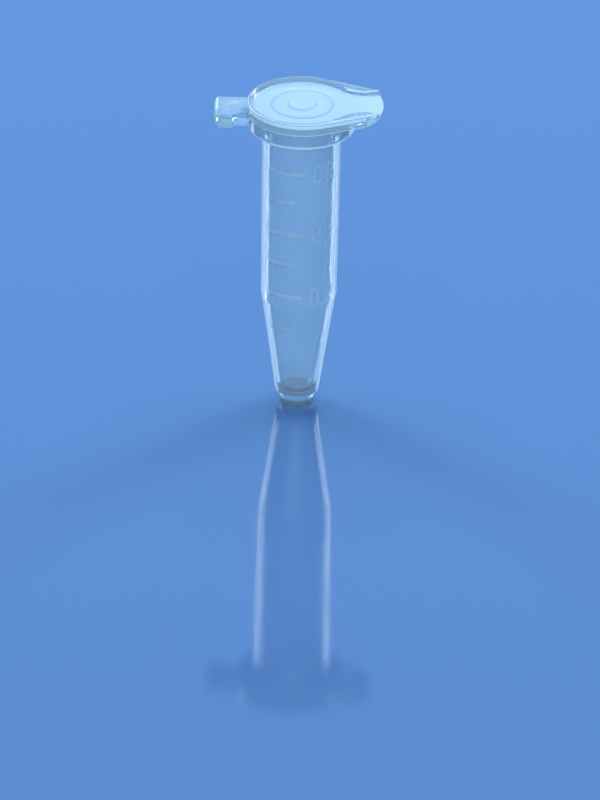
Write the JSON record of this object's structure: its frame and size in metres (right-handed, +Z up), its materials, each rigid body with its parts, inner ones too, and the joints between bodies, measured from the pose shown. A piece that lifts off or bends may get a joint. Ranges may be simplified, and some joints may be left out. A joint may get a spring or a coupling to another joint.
{
  "type": "microcentrifuge tube",
  "caption": "Small translucent snap-lid sample tube: conical tip, graduated barrel, collar, living hinge and teardrop lid with a sealing plug.",
  "frame": {"origin": "centre of the standing face at the bottom of the tip", "axes": "+Z up the tube's axis, +X towards the thumb tab (the hinge is at -X), graduations face -Y"},
  "size_m": [0.0169, 0.0108, 0.0334],
  "materials": {
    "clear_wall": "smooth translucent natural polypropylene",
    "frosted_lid": "fine matt texture on the lid's writing surface",
    "clear_rim": "polished translucent rim",
    "hinge_strap": "polished translucent strap",
    "moulded_marks": "raised marks moulded in the wall"
  },
  "bodies": {
    "tube": {"barrel": "clear_wall", "conical_tip": "clear_wall", "standing_foot": "clear_wall", "rim_collar": "clear_rim", "lower_hinge_leaf": "hinge_strap", "hinge_film": "hinge_strap", "graduation_bar_0_1_ml": "moulded_marks", "graduation_bar_0_2_ml": "moulded_marks", "graduation_bar_0_3_ml": "moulded_marks", "graduation_bar_0_4_ml": "moulded_marks", "graduation_bar_0_5_ml": "moulded_marks", "graduation_bar_0_6_ml": "moulded_marks", "graduation_numeral_0_2": "moulded_marks", "graduation_numeral_0_4": "moulded_marks", "graduation_numeral_0_6": "moulded_marks"},
    "lid": {"lid_plate": "frosted_lid", "lid_border": "clear_rim", "thumb_tab": "frosted_lid", "centre_boss": "frosted_lid", "sealing_plug": "clear_rim", "upper_hinge_leaf": "hinge_strap"}
  },
  "joints": [
    {"name": "lid_hinge", "type": "hinge", "parent": "tube", "child": "lid", "pos_m": [-0.0086, 0, 0.0321], "axis": [0, -1, 0], "range_deg": [0, 175]}
  ]
}
